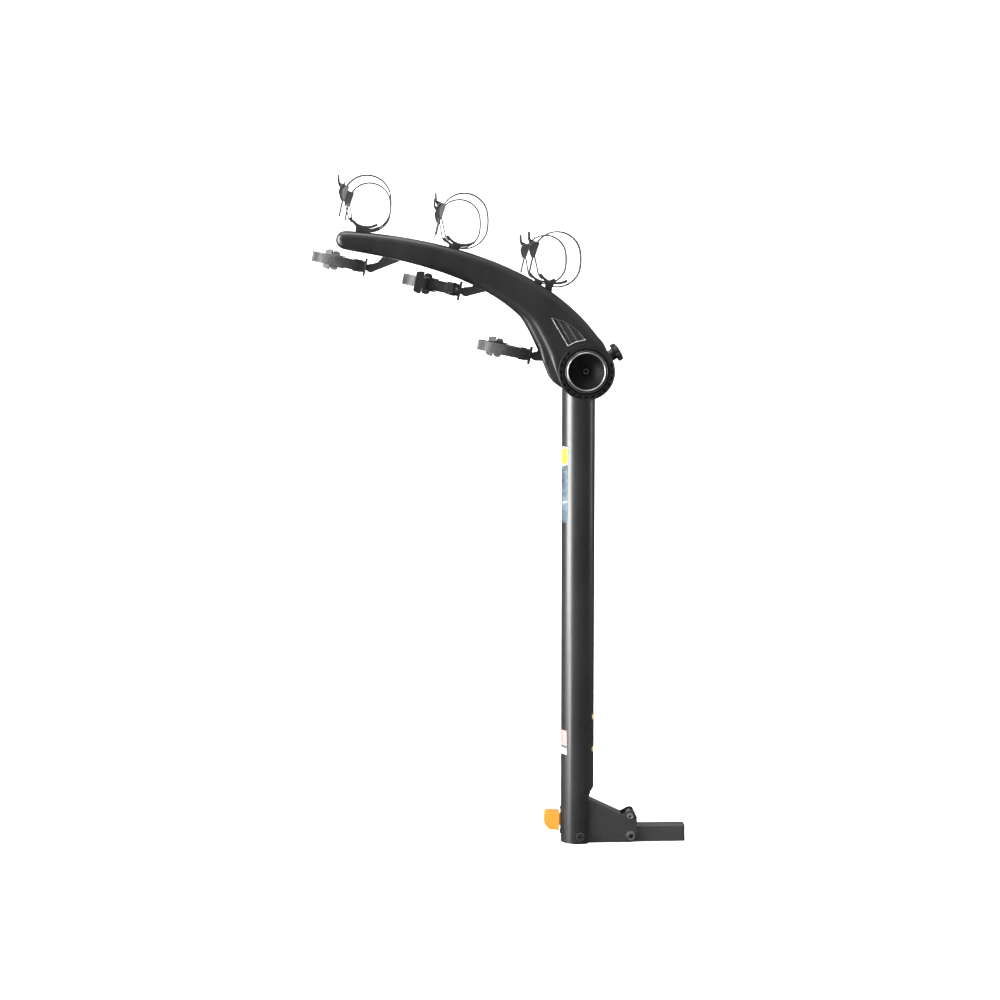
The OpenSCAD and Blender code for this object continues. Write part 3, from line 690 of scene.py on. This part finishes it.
def build_hub(side):
    s = SIDES[side]
    c = (HUB.x, 0, HUB.z)
    z0 = 165 + 25 - 0.6
    edge = 32.8
    dish_r = (edge * edge + 19 * 19) / (2 * 19)
    prof = [(0, z0 - 21), (30, z0 - 21), (34.8, z0 - 18), (34.8, z0 - 2.4), (42.4, z0 - 2.4),
            (42.4, z0 - 0.6), (41.9, z0 - 0.15), (41.2, z0), (39.2, z0), (38.9, z0 - 0.7), (37.0, z0 - 0.7),
            (36.7, z0), (edge, z0)]
    for i in range(1, 25):
        r = edge * (1 - i / 24)
        prof.append((r, z0 - 19 + dish_r - math.sqrt(dish_r * dish_r - r * r)))
    cap = lathe(f"{side}_hub_dish", prof, c, (0, s, 0), 160)
    smooth(cap, 30)
    dress(cap, "gloss")
    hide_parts(f"{side}_hub_cap")
    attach(cap, "mast")
    ring = lathe(f"{side}_trim_ring",
                 [(edge, z0 - 0.4), (35.8, z0 - 0.4), (35.8, z0 + 0.5), (35.3, z0 + 1.2), (34.7, z0 + 1.5),
                  (33.8, z0 + 1.5), (33.1, z0 + 1.1), (edge, z0 + 0.5)], c, (0, s, 0), 160)
    # a dim silver ring on the cap's rim, r 37.4 to 38.5 mm: painted highlight for the light caught along the
    # cap's rim edge
    thin = lathe(f"{side}_painted_rim_highlight",
                 [(37.4, z0 - 0.8), (38.5, z0 - 0.8), (38.5, z0 + 0.1), (38.2, z0 + 0.45), (37.7, z0 + 0.45),
                  (37.4, z0 + 0.1)], c, (0, s, 0), 160)
    head = z0 - 19 + 3.6
    screw = lathe(f"{side}_screw_ring", [(3.6, head - 0.4), (4.9, head - 0.4), (4.9, head + 0.2),
                                          (4.5, head + 0.5),
                                         (3.9, head + 0.5), (3.6, head + 0.2)], c, (0, s, 0), 64)
    for o, look in ((ring, "silver"), (thin, "dull_silver"), (screw, "dull_silver")):
        smooth(o, 60)
        dress(o, look)
        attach(o, "mast")
    if side == "right":
        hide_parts("trim_rings")
    return cap


# ---------------------------------------------------------------- straps

LOOPS = [(-396.5, 311), (-221.5, 279), (-53, 210)]
TOP_DROP = Vector((0, -13.5))
SWAY_DROP = Vector((-4.6, -12.7))
STRAP_T = 2.7


def ray(a):
    return Vector((math.cos(math.radians(a)), math.sin(math.radians(a))))


def strap_path(r, drop):
    """The strap's centre line in its own plane, with the cradle at the bottom, about every 2 mm."""
    pts = []
    for i in range(113):
        a = -104 + 249 * i / 112
        k = max(0.0, min(1.0, (25 - a) / 50))
        pts.append(drop * (k * k * (3 - 2 * k)) + ray(a) * r)
    p = pts[-1]
    for turn, length in ((252, 28), (255, 10), (258, 20)):
        for _ in range(length // 2):
            p = p + ray(turn) * 2.0
            pts.append(p)
    return pts


def strap_mesh(name, r, drop, place):
    """A flexible ladder strap: rounded edges, a raised rail on each side and cross teeth between them."""
    pts = strap_path(r, drop)
    half, t = 10.0, STRAP_T / 2
    section = [(-half, -t + 0.5), (-half + 0.5, -t), (half - 0.5, -t), (half, -t + 0.5),
               (half, t - 0.5), (half - 0.5, t), (half - 2.6, t), (half - 3.1, t - 0.55),
               (-half + 3.1, t - 0.55), (-half + 2.6, t), (-half + 0.5, t), (-half, t - 0.5)]
    bm = bmesh.new()
    rings = []
    n = len(pts)
    for i, p in enumerate(pts):
        d = (pts[min(i + 1, n - 1)] - pts[max(i - 1, 0)]).normalized()
        out = Vector((d[1], -d[0]))
        taper = 1.0 if i < n - 4 else (0.97, 0.9, 0.75, 0.5)[i - (n - 4)]
        rings.append([bm.verts.new(place((p + out * v)[0], (p + out * v)[1], w * taper)) for w, v in section])
    m = len(section)
    for a, b in zip(rings, rings[1:]):
        for k in range(m):
            bm.faces.new((a[k], a[(k + 1) % m], b[(k + 1) % m], b[k]))
    bm.faces.new(rings[0][::-1])
    bm.faces.new(rings[-1])
    for i in range(6, n - 6, 2):
        p = pts[i]
        d = (pts[i + 1] - pts[i - 1]).normalized()
        out = Vector((d[1], -d[0]))
        lo, hi = t - 0.6, t - 0.02
        prof = [(-0.75, lo), (0.55, lo), (0.3, hi), (-0.1, hi)]
        a = [bm.verts.new(place(*(p + d * q + out * v), -6.9)) for q, v in prof]
        b = [bm.verts.new(place(*(p + d * q + out * v), 6.9)) for q, v in prof]
        for k in range(4):
            bm.faces.new((a[k], a[(k + 1) % 4], b[(k + 1) % 4], b[k]))
        bm.faces.new(a[::-1])
        bm.faces.new(b)
    bmesh.ops.recalc_face_normals(bm, faces=bm.faces)
    obj = new_object(name, bm)
    smooth(obj, 30)
    return obj


def top_place(s, i):
    cx, cz = LOOPS[i]
    return lambda x, y, w: Vector((HUB.x + (cx + x) * MM, s * HUB_Y - w * MM, HUB.z + (cz + y) * MM))


KNUCKLES = [(-395.3, 186.5), (-219, 144.8), (-72.4, 14)]
SWAY_SIDES = [1, -1, 1]


def knuckle_frame(i):
    """Stabilizer i's own frame at its knuckle: -X out towards its loop, Y the swivel's axis."""
    s = SWAY_SIDES[i]
    k = Vector((HUB.x + KNUCKLES[i][0] * MM, s * HUB_Y, HUB.z + KNUCKLES[i][1] * MM))
    return Matrix.Translation(k) @ Matrix.Rotation(math.radians(12), 4, "Y") @ Matrix.Diagonal((1, -s, 1, 1))


def sway_place(i):
    turn = knuckle_frame(i) @ Matrix.Translation((-70.4 * MM, 0, 0)) @ Matrix.Rotation(
            math.radians(110), 4, "Z")
    return lambda x, y, w: turn @ Vector((x * MM, y * MM, w * MM))


def build_sway_screws():
    """A washer and a domed screw on each side of every stabilizer's neck."""
    for i in range(3):
        frame_at = knuckle_frame(i)
        turn = frame_at.to_3x3()
        for side in (-1, 1):
            at = frame_at @ Vector((-19 * MM, side * 12.9 * MM, 0))
            axis = turn @ Vector((0, side, 0))
            washer = lathe(f"sway_washer_{i + 1}_{side + 1}",
                           [(0, -0.5), (6.6, -0.5), (6.6, 0.8), (6.1, 1.2), (0, 1.2)], at, axis, 48)
            screw = lathe(f"sway_screw_{i + 1}_{side + 1}",
                          [(0, 0.8), (4.4, 0.8), (4.4, 1.6), (3.8, 2.5), (2.6, 3.0),
                            (1.7, 3.0), (1.7, 1.4), (0, 1.4)],
                          at, axis, 48)
            for o, look in ((washer, "buckle"), (screw, "zinc")):
                smooth(o, 30)
                dress(o, look)
                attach(o, f"sway_cradle_{i + 1}")


def build_straps():
    for side, r in (("right", 43.0), ("left", 40.5)):
        for i in range(3):
            o = strap_mesh(f"{side}_ladder_strap_{i + 1}", r, TOP_DROP, top_place(SIDES[side], i))
            dress(o, "strap")
            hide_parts(f"{side}_strap_{i + 1}")
            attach(o, f"{side}_arm")
    for i in range(3):
        o = strap_mesh(f"sway_ladder_strap_{i + 1}", 45.0, SWAY_DROP, sway_place(i))
        dress(o, "strap")
        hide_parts(f"sway_strap_{i + 1}")
        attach(o, f"sway_cradle_{i + 1}")


def build_ears():
    """Rounded ears above and below the strap on every stabilizer's buckle."""
    for i in range(3):
        place = sway_place(i)
        end = ray(145) * 45.0 + ray(252) * 6 + ray(162) * 4.9
        for side in (-1, 1):
            bm = bmesh.new()
            outline = [(-9, 10.2), (7, 10.2)] + [(7 - 4 * (1 - math.cos(math.radians(a))) * 1.5,
                       13 + 6 * math.sin(math.radians(a))) for a in range(0, 91, 15)]
            outline += [(-9 + 4 * (1 - math.cos(math.radians(a))) * 1.5,
                        13 + 6 * math.sin(math.radians(a))) for a in range(90, -1, -15)]
            rows = [[bm.verts.new(place(end[0] - x, end[1] - y - 3, side * w)) for y, w in outline]
                    for x in (3.2, 6.0)]
            n = len(outline)
            for k in range(n):
                bm.faces.new((rows[0][k], rows[0][(k + 1) % n], rows[1][(k + 1) % n], rows[1][k]))
            bm.faces.new(rows[0])
            bm.faces.new(rows[1][::-1])
            bmesh.ops.recalc_face_normals(bm, faces=bm.faces)
            o = new_object(f"sway_ear_{i + 1}_{side + 1}", bm)
            smooth(o, 30)
            soften(o, 0.0007, 2, 35)
            dress(o, "buckle")
            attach(o, f"sway_cradle_{i + 1}")


def bolt_face(name, x, z, face, r, body, rim):
    """A bright washer line, and a dark disc of painted shade where the screw's hex drive would be sunk, on a
    screw head that faces -Y; all in mm.
    """
    at = (x * MM, face * MM, z * MM)
    ring = lathe(f"{name}_ring", [(r * 0.62, -0.6), (r * 0.86, -0.6), (r * 0.86, 0.35), (r * 0.78, 0.6),
                                  (r * 0.68, 0.6), (r * 0.62, 0.35)], at, (0, -1, 0), 48)
    # a thin near-black hexagon on the head's face: painted shade for the hex drive's recess
    pit = lathe(f"{name}_socket", [(0, -0.4), (r * 0.46, -0.4), (r * 0.46, 0.12), (0, 0.12)],
                at, (0, -1, 0), 6)
    for o, look, slot in ((ring, rim, "silver" if rim == "silver" else "gloss"), (pit, "pit", "gloss")):
        smooth(o, 30)
        dress(o, look)
        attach(o, body)


def build_bolt_faces():
    for node, body in (("bracket_bolts", "base"), ("pivot_bolt", "mast")):
        verts = [v.co for v in NODES[node].data.vertices]
        groups = [verts] if node == "pivot_bolt" else [[v for v in verts if v.z < 0.010],
                                                       [v for v in verts if v.z >= 0.010]]
        for k, g in enumerate(groups):
            y = min(v.y for v in g)
            head = [v for v in g if v.y < y + 0.0002]
            x0, x1 = min(v.x for v in head), max(v.x for v in head)
            z0, z1 = min(v.z for v in head), max(v.z for v in head)
            bolt_face(f"{node}_{k + 1}", (x0 + x1) / 2 / MM, (z0 + z1) / 2 / MM, y / MM,
                      (x1 - x0) / 2 / MM, body,
                      "silver" if body == "base" else "pit")


# ---------------------------------------------------------------- put together

for side in SIDES:
    build_arm(side)
    build_hub(side)
build_straps()
build_sway_screws()
build_ears()
build_bolt_faces()

for name, obj in NODES.items():
    look = SLOT_LOOK.get(name, SLOTS[name])
    dress(obj, look)
    smooth(obj, 32)
    tiny = name in ("mast_stickers", "latch_spring")
    if not tiny:
        soften(obj, 0.0004 if "lever" in name or "buckle" in name else 0.0007, 2, 35)

# ---------------------------------------------------------------- studio

# a flat floor that sweeps up into a wall behind the rack, in metres
FLOOR_NEAR = -30
FLOOR_STEP = 3.0
FLAT_ROWS = 12
SWEEP_START = 6
SWEEP_R = 3
SWEEP_ROWS = 24
WALL_STEP = 0.8
WALL_ROWS = 12
FLOOR_HALF_WIDTH = 34

low = cad_box[0]
bm = bmesh.new()
rows = []
for i in range(FLAT_ROWS + SWEEP_ROWS + 1 + WALL_ROWS):
    if i < FLAT_ROWS:
        y, z = FLOOR_NEAR + i * FLOOR_STEP, 0.0
    elif i <= FLAT_ROWS + SWEEP_ROWS:
        a = (i - FLAT_ROWS) / SWEEP_ROWS * math.pi / 2
        y, z = SWEEP_START + SWEEP_R * math.sin(a), SWEEP_R - SWEEP_R * math.cos(a)
    else:
        y, z = SWEEP_START + SWEEP_R, SWEEP_R + (i - FLAT_ROWS - SWEEP_ROWS) * WALL_STEP
    rows.append([bm.verts.new((x, y, low[2] + z)) for x in (-FLOOR_HALF_WIDTH, FLOOR_HALF_WIDTH)])
for a, b in zip(rows, rows[1:]):
    bm.faces.new((a[0], a[1], b[1], b[0]))
floor = new_object("studio_floor", bm)
smooth(floor, 80)
floor.data.materials.append(floor_material())


def soft_light(name, place, target, size, power, color=(1, 1, 1)):
    light = bpy.data.lights.new(name, "AREA")
    light.shape = "RECTANGLE"
    light.size, light.size_y = size
    light.energy = power
    light.color = color
    obj = bpy.data.objects.new(name, light)
    obj.location = place
    obj.rotation_euler = (Vector(target) - Vector(place)).to_track_quat("-Z", "Y").to_euler()
    bpy.context.scene.collection.objects.link(obj)
    return obj


aim = (-0.3, 0, 0.6)
soft_light("key", (-3.4, -0.95, 1.35), aim, (1.6, 3.2), 400)
soft_light("low", (-2.3, -1.3, 0.25), (-0.45, -0.2, 1.1), (0.5, 1.4), 45)
soft_light("top", (-0.9, -0.4, 3.8), aim, (2.4, 1.6), 105)
soft_light("front", (1.9, -4.4, 2.4), aim, (1.6, 1.6), 10)
soft_light("rim", (3.4, 0.6, 1.4), aim, (0.5, 2.6), 26)
soft_light("wall", (0, 3.6, 6.0), (0, 9, 1.6), (12, 3), 700)
floor.visible_glossy = False

world = bpy.data.worlds.new("studio")
world.use_nodes = True
tree = world.node_tree
bg = tree.nodes["Background"]
bg.inputs["Color"].default_value = (1.0, 1.0, 1.0, 1)
coord = tree.nodes.new("ShaderNodeTexCoord")
parts = tree.nodes.new("ShaderNodeSeparateXYZ")
rise = tree.nodes.new("ShaderNodeMapRange")
tree.links.new(coord.outputs["Generated"], parts.inputs[0])
tree.links.new(parts.outputs["Z"], rise.inputs[0])
for i, v in zip((1, 2, 3, 4), (-0.1, 0.8, 0.07, 0.9)):
    rise.inputs[i].default_value = v
tree.links.new(rise.outputs[0], bg.inputs["Strength"])
bpy.context.scene.world = world
bpy.context.scene.view_settings.view_transform = "Standard"

cam = bpy.data.cameras.new("camera")
cam.lens = 81.0
cam.sensor_width = 36.0
cam.clip_end = 60
camera = bpy.data.objects.new("camera", cam)
camera.location = (-0.5052, -4.2642, 1.1005)
camera.rotation_euler = (math.radians(90 - 6.038), 0, math.radians(-2.494))
bpy.context.scene.collection.objects.link(camera)
bpy.context.scene.camera = camera
